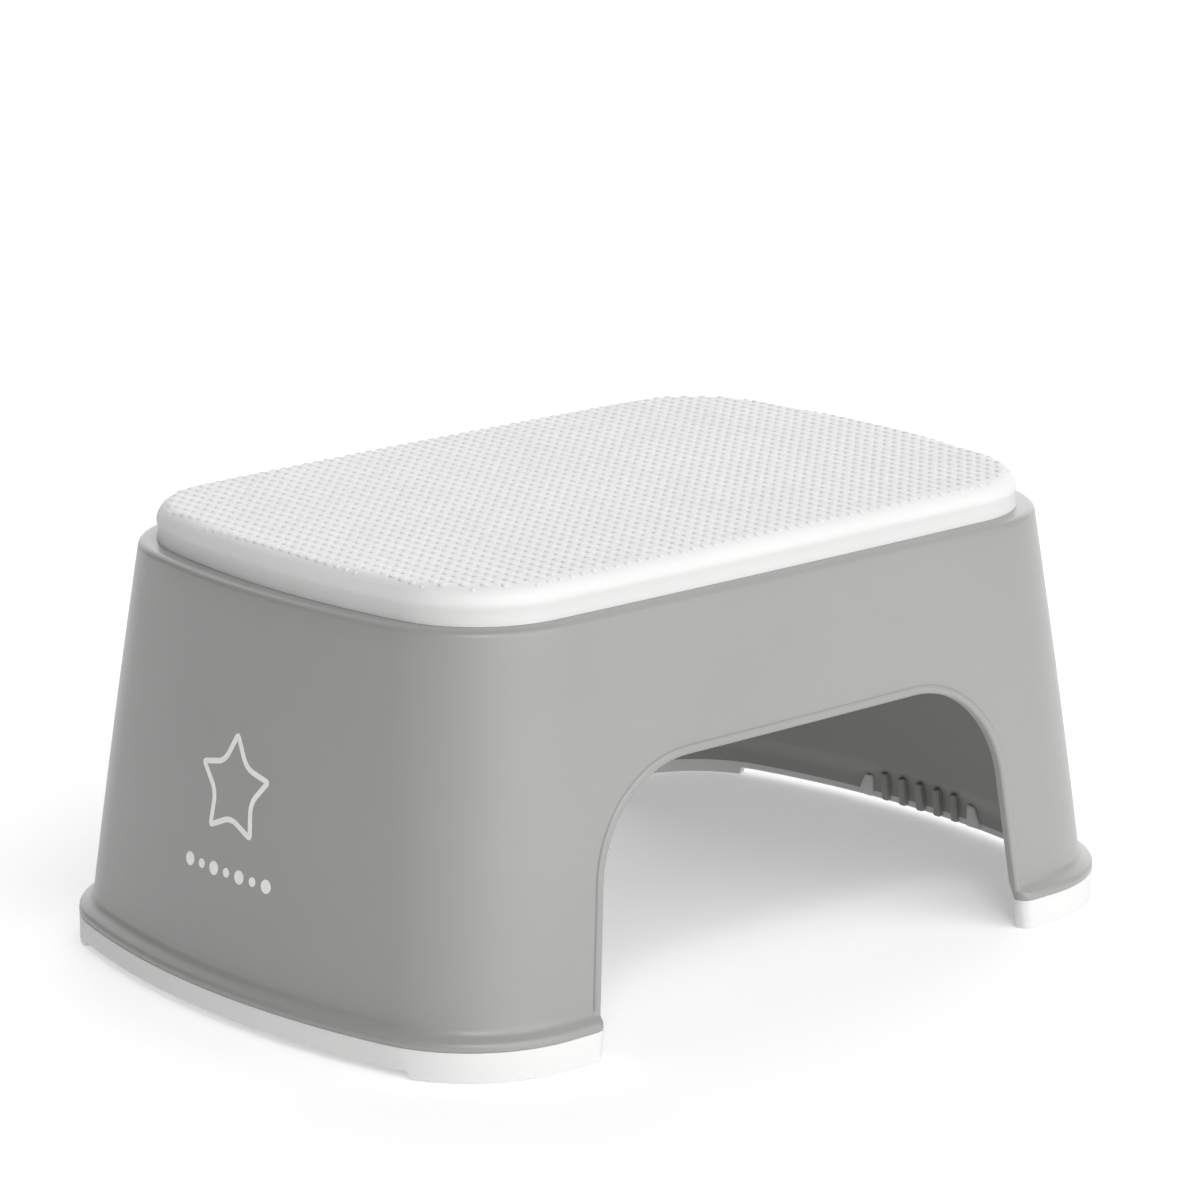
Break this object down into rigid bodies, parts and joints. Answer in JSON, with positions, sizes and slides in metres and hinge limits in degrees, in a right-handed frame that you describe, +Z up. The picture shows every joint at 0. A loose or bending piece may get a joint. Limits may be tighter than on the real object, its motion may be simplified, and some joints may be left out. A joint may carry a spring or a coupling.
{
  "type": "step stool",
  "caption": "Low step stool for a toddler: leaning shell with an arch in each long side, a soft non-slip tread mat and soft strips along its base.",
  "frame": {"origin": "on the floor, under the middle of the stool", "axes": "+X along the long side, +Y across the stool towards one arch, +Z up out of the tread"},
  "size_m": [0.362, 0.2484, 0.165],
  "materials": {
    "shell_plastic": "satin moulded polypropylene, mid grey",
    "soft_white": "soft-touch thermoplastic elastomer, white"
  },
  "bodies": {
    "root": {"stool_body": "shell_plastic", "tread_mat": "soft_white", "base_strip_left": "soft_white", "base_strip_right": "soft_white"}
  },
  "joints": []
}
